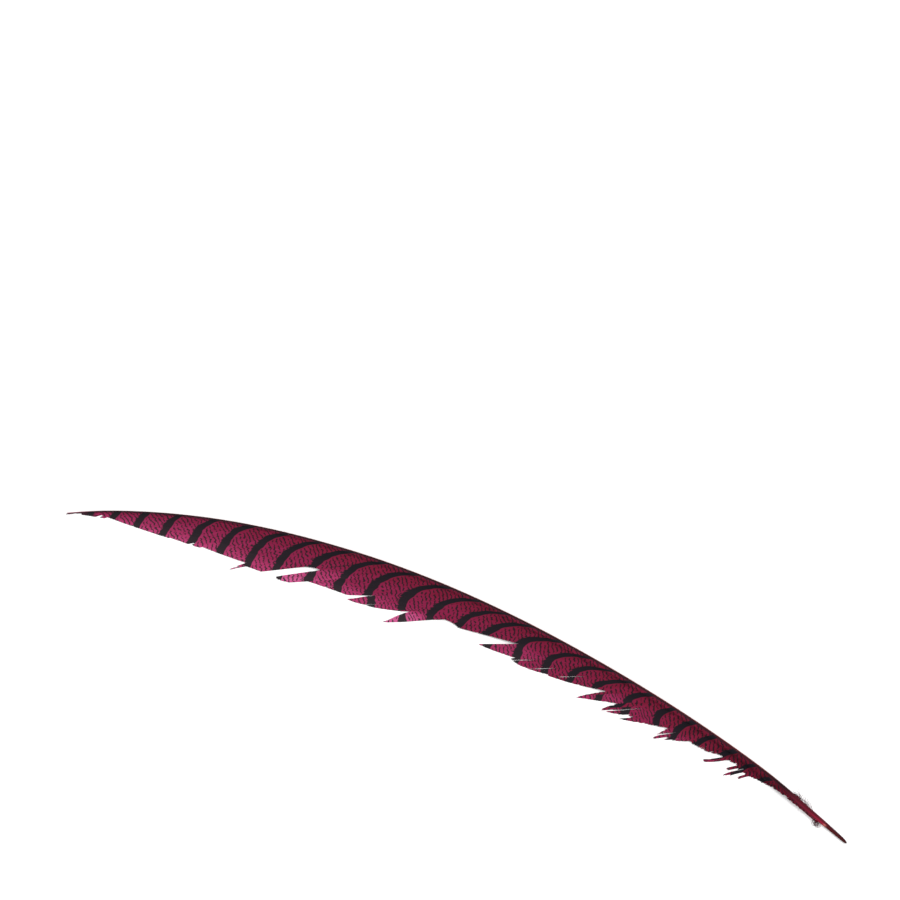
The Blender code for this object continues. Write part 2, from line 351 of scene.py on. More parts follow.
SWINGS_MM = [  # grows from, to, starts at, degrees that the first and the last barb swing out
    (268, 281, 44, 4.3, 0), (268, 276, 74, -16, 0), (88.2, 91.8, 12, -9, -9), (74.8, 77.2, 12, 22, 22),
    (70, 72.6, 9, 16, 30), (79.3, 81.6, 9, 8, 8), (386.7, 388.3, 66, 14, 14), (537, 545, 4, 7, 0),
]
SWINGS_OVER = 14 * MM
WORN_FROM, WORN_TO = 60 * MM, 150 * MM
HOOKED_LOOSE, WORN_LOOSE, LOCK_LOOSE = 0.02, 3.0, 0.2  # degrees, degrees more, and a factor
LOOSE_FROM, LOOSE_TO = 3 * MM, 16 * MM  # along the barb
BAR_PLACES_MM = [
    71, 85, 101, 118.5, 135, 152, 175, 194.6, 212.2, 230.6, 253, 274.4, 292.5, 312.8, 334.4, 357.8,
    378.5, 401.5, 423, 443, 465.2, 487, 508.5, 528.5, 546, 563,
]
BAR_SWEEPS_MM = [
    (0, 5), (140, 8), (152, 11), (172, 20), (195, 27), (300, 27),
    (410, 24), (450, 18), (480, 14), (520, 9), (560, 6),
]
BAR_CURL, BAR_PLACED_OUT, BAR_SHIFT = 7.8, 11, 0.06
BAR_RECURVE, BAR_RECURVE_FROM = 0.012, 25
LINE_SPACING, LINE_LEAN, LINE_CURL, LINE_CURL_OVER = 3.25, 0.5, 3.6, 5


def bar_number(along, across):
    """How many bars lie before this place on the straight feather."""
    out = across / MM
    sweep = np.interp(along / MM, *np.array(BAR_SWEEPS_MM, float).T)
    swept = sweep * (math.exp(-BAR_PLACED_OUT / BAR_CURL) - np.exp(-out / BAR_CURL))
    swept -= BAR_RECURVE * np.maximum(out - BAR_RECURVE_FROM, 0) ** 2
    places = [BAR_PLACES_MM[0] - 8, *BAR_PLACES_MM, BAR_PLACES_MM[-1] + 10]
    numbers = [-0.5, *range(len(BAR_PLACES_MM)), len(BAR_PLACES_MM) - 0.5]
    return np.interp(along / MM - swept, places, numbers) + BAR_SHIFT


def line_number(along, across):
    """A count of the fine wavy lines, which cross the barbs almost squarely."""
    out = across / MM
    curl = LINE_CURL * (1 - np.exp(-out / LINE_CURL_OVER))
    return (along / MM + LINE_LEAN * out + curl) / LINE_SPACING


def opened(roots, along):
    """How much lighter each place on each barb has opened, and how far its bars are dragged."""
    openness, drag = np.zeros_like(along), np.zeros_like(along)
    for first, last, start, dragged, lighter in OPEN_LOCKS_MM:
        inside = ((roots > first * MM) & (roots < last * MM))[:, None]
        rise = inside * eased(along, start * MM, start * MM + LOCK_OPENS_OVER)
        openness += lighter * inside * eased(along, start * MM, start * MM + LOCK_OPENS_OVER / 2)
        drag += rise * dragged * MM
    return openness, drag


def swung(roots, along):
    """How far barbs have turned out of their grown path, in radians: locks, and worn barbs."""
    turn = np.zeros_like(along)
    for first, last, start, at_first, at_last in SWINGS_MM:
        share = (roots / MM - first) / (last - first)
        degrees = (at_first + (at_last - at_first) * share) * ((share >= 0) & (share <= 1))
        turn += np.radians(degrees)[:, None] * eased(along, start * MM, start * MM + SWINGS_OVER)
    loose = HOOKED_LOOSE + WORN_LOOSE * (1 - eased(roots, WORN_FROM, WORN_TO))
    for first, last, *_ in SWINGS_MM:
        loose = np.where((roots > first * MM) & (roots < last * MM), LOCK_LOOSE * loose, loose)
    chance = np.random.default_rng(11).normal(0, 1, len(roots))
    return turn + np.radians(loose * chance)[:, None] * eased(along, LOOSE_FROM, LOOSE_TO)


bar_steps = np.diff(BAR_PLACES_MM)
print(len(BAR_PLACES_MM), "bars,", bar_steps.min(), "to", round(bar_steps.max(), 1), "mm apart")

# %% [markdown]
# ## The near web
# Barbs stand 0.6 mm apart, further than real ones, because finer ones couldn't be seen.
# Each is a little wider than its share of the web, follows its slope and leans like a roof
# tile over the next, so that the web is closed wherever it is hooked. At its root it bends up
# onto the shaft. Slow ripples keep it from lying like paper.

# %% Make the near web
NEAR_RINGS = 15
OVERLAP = 1.36
TILE_LEAN = math.radians(7)
BLUNT = 0.955  # the share of its length at which a barb begins to come to its point
near_shares = np.append(BLUNT * np.linspace(0, 1, NEAR_RINGS - 2) ** 1.5, [0.985, 1])
BARE_SHAFT_MM = [  # how much of the shaft's width is left bare, by the distance along it
    (0, 3.5), (46, 3.4), (62, 2.4), (85, 1.6), (110, 1.4), (250, 1.1), (400, 0.85), (575, 0.4),
]
LEAST_REACH = 0.7 * MM
SEAT_HEIGHT, SEAT_WIDTH = 1.12, 1.9  # of the web's bend over the shaft, in shaft radii
MEASURED_FROM = -0.3  # where the barbs' lengths were measured from, in mm from the shaft's middle
LOCK_WIDENING = 0.35
SLIT_WIDTH, SLIT_DEPTH = 0.75, 0.84  # in mm along the shaft, and as a share of a barb's width


def ripple(roots, along):
    """Slow rises and falls of the web, in metres, that run with the barbs."""
    swell = np.sin(roots / MM / 3.7 + 0.8) + 0.7 * np.sin(roots / MM / 1.9 + 2.0)
    return 0.12 * MM * swell[:, None] * np.sin(along / MM / 9 + roots[:, None] / MM / 25)


def web_width(roots, along, angle, lengths, spacing):
    """Half width of each ring: its share of the web, wider in open locks, then a point."""
    widened = 1 + LOCK_WIDENING * np.minimum(opened(roots, along)[0], 1)
    half = spacing * np.sin(angle) / 2 * OVERLAP * widened
    for place, start, end in SLITS_MM:
        parted = np.exp(-(((roots / MM - place) / SLIT_WIDTH) ** 2))[:, None]
        stretch = eased(along / MM, start, start + 4) * (1 - eased(along / MM, end - 3, end + 2))
        half = half * (1 - SLIT_DEPTH * parted * stretch)
    to_end = (1 - along / lengths[:, None]) / (1 - BLUNT)
    return half * np.sqrt(np.clip(to_end, 0.02, 1))


along, ahead, out, angle = barb_paths(near_roots, near_lengths, near_shares)
lain_ahead, lain_out = barb_paths(near_roots, near_lengths, near_shares, swung)[1:3]
x, y, z = shaft_at(near_roots)
heading = shaft_heading(near_roots)[:, None]
thickness = shaft_radius(near_roots)[:, None]
seat = between(BARE_SHAFT_MM, near_roots / MM)[:, None] * MM - thickness
reach = np.maximum(lain_out[:, -1:] + MEASURED_FROM * MM, seat + LEAST_REACH)
from_line = seat + lain_out * (reach - seat) / lain_out[:, -1:]
height = near_height(near_roots[:, None] + lain_ahead, lain_out, z[:, None])
bend = np.clip(1 - (from_line / (SEAT_WIDTH * thickness)) ** 2, 0, 1)
over_shaft = z[:, None] + SEAT_HEIGHT * thickness * np.sqrt(bend)
height = np.where(bend > 0, np.maximum(height, over_shaft), height)
centre = np.stack(
    [
        x[:, None] + lain_ahead * np.cos(heading) - from_line * np.sin(heading),
        y[:, None] + lain_ahead * np.sin(heading) + from_line * np.cos(heading),
        height,
    ],
    axis=-1,
)
on_slope = eased(centre[..., 2], 0.6 * MM, 2 * MM) * (bend == 0)
centre[..., 2] += ripple(near_roots, along) * (0.35 + on_slope)
nearby = 0.5 * MM
lower = near_height(near_roots[:, None] + lain_ahead, lain_out + nearby, z[:, None])
upper = near_height(near_roots[:, None] + lain_ahead, lain_out, z[:, None])
slope = np.arctan((lower - upper) / nearby * np.cos(angle)) * (bend == 0)
side, up = frames_along(centre, TILE_LEAN + slope)
half_width = web_width(near_roots, along, angle, near_lengths, NEAR_SPACING)
half_height = (0.10 - 0.05 * along / near_lengths[:, None]) * MM
near_web, ring, unit = many_strands("near_web", centre, side, up, half_width, half_height)

# %% [markdown]
# ## What the near web's material reads
# Each vertex keeps its place on the straight feather in millimetres, where its barb grows,
# its bar number, its count of wavy lines, how light it looks there, from the dye and from
# painted shade on the slope by the shaft, and how far it is darkened: with painted shade at
# the barbs' roots and in one crease, and just before the tip. The last map lays the
# straightened web out in five rows, so that one square picture can hold the whole web when
# its colours are baked.

# %% Notes on the near web
# painted shade: a dark line in the colour along a fold of the near web
CREASE_AT, CREASE_WIDTH = 364.7, 0.7  # mm along the shaft
CREASE_STARTS, CREASE_ENDS = (14 * MM, 18 * MM), (28 * MM, 35 * MM)  # along the barb
DARK_TIP = (554 * MM, 557 * MM, 569 * MM, 573 * MM)
ROWS, ROW_HEIGHT, ROW_WIDTH = 5, 39 * MM, 195 * MM
ROW_START = 22 * MM


def straight_places(roots, ahead, out, angle, from_ridge):
    """Places on the straight feather of a strand's vertices, across its width too."""
    return roots[:, None] + ahead - from_ridge * np.sin(angle), out + from_ridge * np.cos(angle)


def lay_out(piece, roots, along_straight, out_straight):
    """The bake's map: the straight web cut into rows by where its barbs grow."""
    row = np.clip((roots - ROW_START) // ((LENGTH - ROW_START) / ROWS), 0, ROWS - 1)[:, None]
    start = ROW_START + row * (LENGTH - ROW_START) / ROWS
    u = (along_straight - start) / ROW_WIDTH + 0.004
    v = (row * ROW_HEIGHT + out_straight) / ROW_WIDTH + 0.002
    flat = np.stack([np.clip(u, 0, 1), np.clip(v, 0, 1)], axis=-1).reshape(-1, 2)
    corners = np.zeros(len(piece.data.loops), int)
    piece.data.loops.foreach_get("vertex_index", corners)
    layer = piece.data.uv_layers.new(name="OFBake")
    layer.data.foreach_set("uv", flat[corners].astype(np.float32).ravel())


from_ridge = half_width[:, ring] * unit[:, 0]
straight_along, straight_out = straight_places(
    near_roots, ahead[:, ring], out[:, ring], angle[:, ring], from_ridge
)
openness, drag = opened(near_roots, along)
inner_share = straight_out / full_width(straight_along)
# lighter towards the margin: partly the dye, partly painted shade on the slope by the shaft
margin_dye_and_slope_shade = 0.22 * eased(inner_share, 0.1, 0.5) + 0.30 * eased(inner_share, 0.6, 1.1)
lightness = 0.2 * eased(straight_along, 40 * MM, 170 * MM)
lightness += margin_dye_and_slope_shade * (0.3 + 0.7 * eased(straight_along, 120 * MM, 380 * MM))
lightness += 0.16 * eased(straight_along, 380 * MM, 530 * MM)
lightness = np.clip(lightness + 0.5 * openness[:, ring], 0, 1)
# painted shade where the near web meets the shaft
painted_root_shade = 0.9 * (1 - eased(straight_out, 0.3 * MM, 1.0 * MM))
painted_root_shade *= eased(near_roots, 55 * MM, 130 * MM)[:, None]
# painted shade along the fold, which is flat in the geometry
crease_shade = np.exp(-(((near_roots / MM - CREASE_AT) / CREASE_WIDTH) ** 2))[:, None]
crease_shade = crease_shade * eased(along, *CREASE_STARTS) * (1 - eased(along, *CREASE_ENDS))
barb_number = np.repeat(near_roots[:, None] / MM, len(ring), axis=1)
place = np.stack([straight_along / MM, straight_out / MM, barb_number], axis=-1)
note(near_web, "place", place)
note(near_web, "bars", bar_number(straight_along + drag[:, ring], straight_out))
note(near_web, "lines", line_number(straight_along + drag[:, ring], straight_out))
note(near_web, "light", lightness)
dark_tip = 0.9 * eased(straight_along, *DARK_TIP[:2]) * (1 - eased(straight_along, *DARK_TIP[2:]))
note(near_web, "darkened", np.maximum.reduce([painted_root_shade, dark_tip, 0.8 * crease_shade[:, ring]]))
lay_out(near_web, near_roots, straight_along, straight_out)
print("rows of", round(ROW_WIDTH / MM), "mm by", round(ROW_HEIGHT / MM), "mm")

# %% [markdown]
# ## The far web
# The web on the outside of the bow is narrow. It has folded down under the shaft, so from
# above only the shaft is seen, and from the side it is a short curtain whose edge stands on
# the table. Its barbs run as the near ones do, but their way across is a way down. The first
# few stand off from the quill as a small stiff lock.

# %% Make the far web
FAR_SPACING, FAR_RINGS = 0.75 * MM, 9
FAR_TUCK = math.radians(14)
FAR_SWELL, FAR_ROOT_DEPTH = 1.5 * MM, 0.6
STIFF_LOCK_FROM, STIFF_LOCK_TO, STANDS_OFF = 44 * MM, 50 * MM, 1.9 * MM
far_roots = np.arange(41 * MM, 560 * MM, FAR_SPACING)
far_z = shaft_at(far_roots)[2]
drop_wanted = np.maximum(far_z - 0.15 * MM, 0.4 * MM) * (1 - 0.08 * rng.random(len(far_roots)))
far_lengths = 0.86 * drop_wanted / np.sin(np.radians(between(TIP_ANGLES, far_roots / LENGTH)))
far_shares = np.linspace(0, 1, FAR_RINGS)
far_along, far_ahead, far_drop, far_angle = barb_paths(far_roots, far_lengths, far_shares)
far_drop *= (drop_wanted / far_drop[:, -1])[:, None]
place_along = np.minimum(far_roots[:, None] + far_ahead, LENGTH)
x, y, _ = shaft_at(place_along)
heading = shaft_heading(place_along)
off_centre = far_drop * math.tan(FAR_TUCK)
off_centre -= FAR_ROOT_DEPTH * shaft_radius(far_roots)[:, None] * np.exp(-far_drop / FAR_SWELL)
standing_off = 1 - eased(far_roots, STIFF_LOCK_FROM, STIFF_LOCK_TO)[:, None]
share = np.clip(far_along / far_lengths[:, None], 0, 1)
off_centre -= STANDS_OFF * standing_off * np.sin(np.pi * share**0.6)
far_x, far_y = x - off_centre * np.sin(heading), y + off_centre * np.cos(heading)
centre = np.stack([far_x, far_y, far_z[:, None] - far_drop], axis=-1)
forward = np.gradient(centre, axis=1)
forward /= np.linalg.norm(forward, axis=-1, keepdims=True)
outward = np.stack([np.sin(heading), -np.cos(heading), np.zeros_like(heading)], axis=-1)
side = np.cross(outward, forward)
side /= np.linalg.norm(side, axis=-1, keepdims=True)
up = np.cross(forward, side)
far_half = FAR_SPACING * np.sin(far_angle) / 2 * OVERLAP * np.sqrt(1 - 0.98 * far_shares**6)
far_thick = np.full_like(far_half, 0.07 * MM)
far_web, far_ring, far_unit = many_strands("far_web", centre, side, up, far_half, far_thick)

# %% [markdown]
# ## What the far web's material reads
# The far web's material reads the same five notes as the near one's. Its place across is how
# far down it hangs, so its bars start at the same places along the shaft.

# %% Notes on the far web
far_straight = far_roots[:, None] + far_ahead[:, far_ring]
far_out = far_drop[:, far_ring] + (far_half[:, far_ring] * far_unit[:, 0]) * 0.9
far_out = np.maximum(far_out, 0)
far_number = np.repeat(far_roots[:, None] / MM, len(far_ring), axis=1)
# painted shade at the top of the far web, under the shaft
far_painted_root_shade = 0.9 * (1 - eased(far_out, 1.1 * MM, 2.1 * MM)) * eased(far_straight, 55 * MM, 130 * MM)
far_lightness = 0.05 + 0.2 * eased(far_straight, 40 * MM, 170 * MM) + 0.1 * eased(far_out / MM, 2, 9)
note(far_web, "place", np.stack([far_straight / MM, far_out / MM, far_number], axis=-1))
note(far_web, "bars", bar_number(far_straight, far_out))
note(far_web, "darkened", far_painted_root_shade)
note(far_web, "lines", line_number(far_straight, far_out))
note(far_web, "light", far_lightness)
lay_out(far_web, far_roots, far_straight, far_out)
print("the far web hangs", round(drop_wanted.max() / MM, 1), "mm at most")

# %% [markdown]
# ## The shaft
# The shaft is one horn rod: a round hollow quill that narrows to a closed end, then a solid
# stretch with a groove along its belly. It is laid like a single strand with many sides, and
# the lowest points are then pressed in for the groove, which starts where the webs do.

# %% Make the shaft
SHAFT_SIDES, SHAFT_RINGS = 20, 170
GROOVE_START, GROOVE_END, GROOVE = 40 * MM, 75 * MM, 0.45
BELLY_FROM, FLATTENED = 0.75, 0.97  # both as shares of the radius
END_ROUNDING = 1.4 * MM
END_STRETCH, END_STRETCHED = 1.8 * MM, 14 * MM  # the quill's last part is a little longer
stations = LENGTH * (np.arange(SHAFT_RINGS) / (SHAFT_RINGS - 1)) ** 1.25
stretched = END_STRETCH * (1 - eased(stations, 0, END_STRETCHED))
shaft_centre = np.stack(shaft_at(stations), axis=-1)[None]
shaft_centre[0, :, 0] -= stretched * np.cos(shaft_heading(stations))
shaft_centre[0, :, 1] -= stretched * np.sin(shaft_heading(stations))
radius = shaft_radius(stations) * np.sqrt(np.clip(stations / END_ROUNDING, 0.15, 1))
side, up = frames_along(shaft_centre, np.zeros((1, SHAFT_RINGS)))
horn, horn_ring, horn_unit = many_strands(
    "horn", shaft_centre, side, up, radius[None], FLATTENED * radius[None], SHAFT_SIDES
)
belly = np.clip(-horn_unit[:, 1] - BELLY_FROM, 0, 1) / (1 - BELLY_FROM)
pressed = GROOVE * radius[horn_ring] * eased(stations[horn_ring], GROOVE_START, GROOVE_END) * belly
for vertex, lift in zip(horn.data.vertices, pressed):
    vertex.co.z += lift
note(horn, "round", horn_unit[None, :, 0])
note(horn, "top", horn_unit[None, :, 1])
note(horn, "along", stations[None, horn_ring] / MM)
print("groove", round(pressed.max() / MM, 2), "mm deep at most")

# %% [markdown]
# ## Down at the quill
# Below the webs a few barbs have no hooks. They stay soft and curl as they please. Each is a
# strand whose direction turns steadily along it, with its own turn, so that some make open
# arcs and some small loops.

# %% Make the tufts
DOWN_RINGS, DOWN_LIES_AT = 17, 0.2 * MM
ANGLE_SPREAD = 12  # degrees
LIFTS_MM = (0.2, 1.5)


def make_tuft(name, count, roots_mm, towards, lengths_mm, first_angle, curls, thickness):
    """Curly barbs on one side of the quill. Angles are in degrees, towards is +1 or -1."""
    roots = rng.uniform(*roots_mm, count) * MM
    lengths = rng.uniform(*lengths_mm, count) * MM
    share = np.linspace(0, 1, DOWN_RINGS)[None]
    start = np.radians(rng.normal(first_angle, ANGLE_SPREAD, count))[:, None]
    curl = np.radians(rng.uniform(*curls, count))[:, None]
    turn = shaft_heading(roots)[:, None] + towards * (start + curl * share**1.4)
    step = (lengths / (DOWN_RINGS - 1))[:, None]
    x, y, z = shaft_at(roots)
    sideways = towards * 0.8 * shaft_radius(roots)
    x = x - sideways * np.sin(shaft_heading(roots))
    y = y + sideways * np.cos(shaft_heading(roots))
    still = np.zeros((count, 1))
    run_x = np.concatenate([still, np.cumsum(np.cos(turn[:, :-1]) * step, axis=1)], axis=1)
    run_y = np.concatenate([still, np.cumsum(np.sin(turn[:, :-1]) * step, axis=1)], axis=1)
    lift = rng.uniform(*LIFTS_MM, count)[:, None] * MM * np.sin(np.pi * share) ** 2
    height = DOWN_LIES_AT + (z[:, None] - DOWN_LIES_AT) * (1 - share) ** 1.5 + lift
    centre = np.stack([x[:, None] + run_x, y[:, None] + run_y, height], axis=-1)
    side, up = frames_along(centre, np.zeros_like(height))
    half = thickness * MM * (1 - 0.8 * share) * np.ones((count, 1))
    piece, ring, _ = many_strands(name, centre, side, up, half, half * 0.7)
    note(piece, "root", np.broadcast_to(share[:, ring], (count, len(ring))))
    return piece


near_tuft = make_tuft("near_tuft", 13, (20, 26), 1, (6, 10), 60, (240, 420), 0.15)
far_tuft = make_tuft("far_tuft", 20, (29, 43), -1, (4.5, 9), 48, (-70, -15), 0.11)

# %% [markdown]
# ## Colours and nodes
# Colours are written as the hex values that a screen shows, and one function turns them into
# the linear values that the renderer wants. One more adds any kind of node, sets it and links
# it, so that a material reads as a list of steps.

# %% Helpers for the materials
SMOOTH = "SMOOTHSTEP"


def colour(hex_value):
    """Linear colour with alpha from an sRGB hex value such as "#7a1f35"."""
    parts = [int(hex_value[i : i + 2], 16) / 255 for i in (1, 3, 5)]
    return (*[p / 12.92 if p <= 0.04045 else ((p + 0.055) / 1.055) ** 2.4 for p in parts], 1.0)


def add(material, kind, inputs=None, **settings):
    """Adds a node, sets its properties, and fills or links its inputs by name or number."""
    node = material.node_tree.nodes.new("ShaderNode" + kind)
    for name, value in settings.items():
        setattr(node, name, value)
    for name, value in (inputs or {}).items():
        if isinstance(value, bpy.types.NodeSocket):
            material.node_tree.links.new(value, node.inputs[name])
        else:
            node.inputs[name].default_value = value
    return node


def start_material(name):
    """An empty material, with its surface shader, ready for nodes."""
    material = bpy.data.materials.new(name)
    material.use_nodes = True
    return material, material.node_tree.nodes["Principled BSDF"]


print("crimson is", [round(part, 3) for part in colour("#8a2148")])

# %% [markdown]
# ## Dyed web
# On the real feather the bars and the fine wavy lines are melanin, laid down barb by barb as
# the feather grew, and the dye then coloured the pale ground between them crimson. The ground
# is wine red in the thick middle and pink at the thin margin and in opened locks: partly uneven
# dye, partly painted shade on the slope by the shaft, with a painted sheen in faint streaks. A
# bar's edge towards the quill is smooth and its other edge is toothed. The wavy lines cross
# the barbs almost squarely, about 3 mm apart, and break up because neighbours grew out of
# step.

# %% Make the web's material
BAR_HALF, BAR_SOFT, TOOTH, BAR_WANDER = 0.138, 0.012, 0.05, 0.14


def web_material(name, painted_shade_value):
    material, shader = start_material(name)
    place = add(material, "Attribute", attribute_name="place").outputs["Vector"]
    bars = add(material, "Attribute", attribute_name="bars").outputs["Fac"]
    lines = add(material, "Attribute", attribute_name="lines").outputs["Fac"]
    light = add(material, "Attribute", attribute_name="light").outputs["Fac"]
    darkened = add(material, "Attribute", attribute_name="darkened").outputs["Fac"]
    parts = add(material, "SeparateXYZ", {0: place})
    along, out, barb = parts.outputs

    # neighbours grew out of step: this noise changes quickly from barb to barb, slowly along
    barb_wise = add(material, "CombineXYZ", {0: along, 1: 0.0, 2: barb})
    stretched = add(material, "Mapping", {0: barb_wise.outputs[0], 3: (0.09, 1.0, 0.55)})
    step = add(material, "TexNoise", {"Vector": stretched.outputs[0], "Scale": 1.0, "Detail": 2.0})
    out_of_step = add(material, "Math", {0: step.outputs["Fac"], 1: 0.5}, operation="SUBTRACT").outputs[0]

    # bars: off is 0 in the middle of a bar, negative towards the quill, within half a bar
    wrapped = add(material, "Math", {0: bars, 1: 0.5}, operation="ADD").outputs[0]
    fraction = add(material, "Math", {0: wrapped}, operation="FRACT").outputs[0]
    centred = add(material, "Math", {0: fraction, 1: 0.5}, operation="SUBTRACT").outputs[0]
    slow = add(material, "TexNoise", {"Vector": place, "Scale": 0.11, "Detail": 1.0}).outputs["Fac"]
    kinked = add(material, "Math", {0: slow, 1: 0.5}, operation="SUBTRACT").outputs[0]
    off = add(material, "Math", {0: kinked, 1: BAR_WANDER, 2: centred}, operation="MULTIPLY_ADD").outputs[0]
    with_teeth = {0: out_of_step, 1: TOOTH * 4, 2: off}
    toothed = add(material, "Math", with_teeth, operation="MULTIPLY_ADD").outputs[0]
    quill_side = {0: off, 1: -BAR_HALF - BAR_SOFT, 2: -BAR_HALF + BAR_SOFT}
    quill_edge = add(material, "MapRange", quill_side, interpolation_type=SMOOTH).outputs[0]
    tip_side = {0: toothed, 1: BAR_HALF + BAR_SOFT, 2: BAR_HALF - BAR_SOFT}
    tip_edge = add(material, "MapRange", tip_side, interpolation_type=SMOOTH).outputs[0]
    bar = add(material, "Math", {0: quill_edge, 1: tip_edge}, operation="MULTIPLY").outputs[0]

    # wavy lines: their count is shaken by two noises, and drawn where it is far from whole
    wander = add(material, "TexNoise", {"Vector": place, "Scale": 0.2, "Detail": 2.0}).outputs["Fac"]
    shaken = add(material, "Math", {0: out_of_step, 1: 0.6, 2: lines}, operation="MULTIPLY_ADD").outputs[0]
    shaken = add(material, "Math", {0: wander, 1: 1.5, 2: shaken}, operation="MULTIPLY_ADD").outputs[0]
    whole = add(material, "Math", {0: shaken, 1: 0.5}, operation="PINGPONG").outputs[0]
    drawn = add(material, "MapRange", {0: whole, 1: 0.28, 2: 0.36}, interpolation_type=SMOOTH).outputs[0]
    broken = add(material, "TexNoise", {"Vector": place, "Scale": 0.3, "Detail": 1.0}).outputs["Fac"]
    kept = add(material, "MapRange", {0: broken, 1: 0.37, 2: 0.43}, interpolation_type=SMOOTH).outputs[0]
    drawn = add(material, "Math", {0: drawn, 1: kept}, operation="MULTIPLY").outputs[0]
    before_bar = {0: off, 1: -BAR_HALF - 0.02, 2: -BAR_HALF - 0.07}
    clear = add(material, "MapRange", before_bar, interpolation_type=SMOOTH).outputs[0]
    beyond = add(material, "Math", {0: off, 1: 0.0}, operation="GREATER_THAN").outputs[0]
    clear = add(material, "Math", {0: clear, 1: beyond}, operation="MAXIMUM").outputs[0]
    drawn = add(material, "Math", {0: drawn, 1: clear}, operation="MULTIPLY").outputs[0]
    drawn = add(material, "Math", {0: drawn, 1: 0.94}, operation="MULTIPLY").outputs[0]

    # painted shade darkens the barbs where they leave the shaft and along a crease
    dark = add(material, "Math", {0: bar, 1: drawn}, operation="MAXIMUM").outputs[0]
    dark = add(material, "Math", {0: dark, 1: darkened}, operation="MAXIMUM").outputs[0]

    # dyed ground: wine red by the quill and shaft, partly painted shade there, crimson, then pink
    # where the web is thin; the streaks along the barbs are partly uneven dye, partly a painted sheen
    uneven = add(material, "Mapping", {0: barb_wise.outputs[0], 3: (0.03, 1.0, 0.30)})
    dye_and_sheen_streaks = add(material, "TexNoise", {"Vector": uneven.outputs[0], "Scale": 1.0, "Detail": 3.0})
    uneven_dye_and_sheen = add(material, "Math", {0: dye_and_sheen_streaks.outputs["Fac"], 1: 0.5}, operation="SUBTRACT").outputs[0]
    taken = add(material, "Math", {0: uneven_dye_and_sheen, 1: 0.35, 2: light}, operation="MULTIPLY_ADD").outputs[0]
    ramp = add(material, "ValToRGB", {0: taken})
    stops = ramp.color_ramp.elements
    stops[0].position, stops[0].color = 0.0, colour("#4e0818")
    stops[1].position, stops[1].color = 1.0, colour("#b4507e")
    for at, hex_value in [(0.2, "#6e142e"), (0.45, "#7c1c40"), (0.75, "#9a305c")]:
        stops.new(at).color = colour(hex_value)
    black = {0: light, 6: colour("#100e16"), 7: colour("#2b2226")}
    melanin = add(material, "Mix", black, data_type="RGBA").outputs[2]
    web = add(material, "Mix", {0: dark, 6: ramp.outputs[0], 7: melanin}, data_type="RGBA").outputs[2]
    # a value below 1 paints shade over the whole web
    painted_shade_dimmed = add(material, "HueSaturation", {"Color": web, "Value": painted_shade_value}).outputs[0]
    material.node_tree.links.new(painted_shade_dimmed, shader.inputs["Base Color"])

    # melanin is a little glossier than dyed ground
    gloss = add(material, "MapRange", {0: dark, 1: 0.0, 2: 1.0, 3: 0.62, 4: 0.48}).outputs[0]
    material.node_tree.links.new(gloss, shader.inputs["Roughness"])
    shader.inputs["Specular IOR Level"].default_value = 0.06
    print(material.name, "has", len(material.node_tree.nodes), "nodes")
    return material


near_material = web_material("dyed_feather_web", 1.0)
# the far web's copy is dimmed as painted shade for its fold under the shaft
far_material = web_material("dyed_feather_web_painted_fold_shade", 0.85)

# %% [markdown]
# ## Dyed horn
# The shaft is keratin, smooth and a little glossy. The dye went deep into the bare quill. One
# side of the quill is crimson, partly dye and partly a painted highlight, with a painted
# glint near its end. The hard outer edge of the shaft is tan, partly its own colour and partly
# the painted lit side of the shaft. Long fine striations run with the growth, so the noise
# for them is stretched along the shaft.

# %% Make the horn's material
HORN_DYED_TO = 250.0  # mm from the quill's end, from where the dye stays the same
BOWED_DYES = [
    (0, "#2e0e12"), (15, "#40121a"), (20, "#561420"), (44, "#420e18"),
    (56, "#1c0a10"), (90, "#34101a"), (250, "#1c080e"),
]
# the pale stop at 17.5 mm is a painted highlight, and the crimson from 19 to 56 mm is partly dye, partly a
# painted highlight
HOLLOW_DYES_AND_HIGHLIGHT = [
    (0, "#3a1210"), (16, "#501618"), (17.5, "#b4605c"), (19, "#8a1a30"), (30, "#741a2e"), (44, "#5e1a2a"),
    (56, "#4a1422"), (90, "#44101c"), (250, "#22080f"),
]


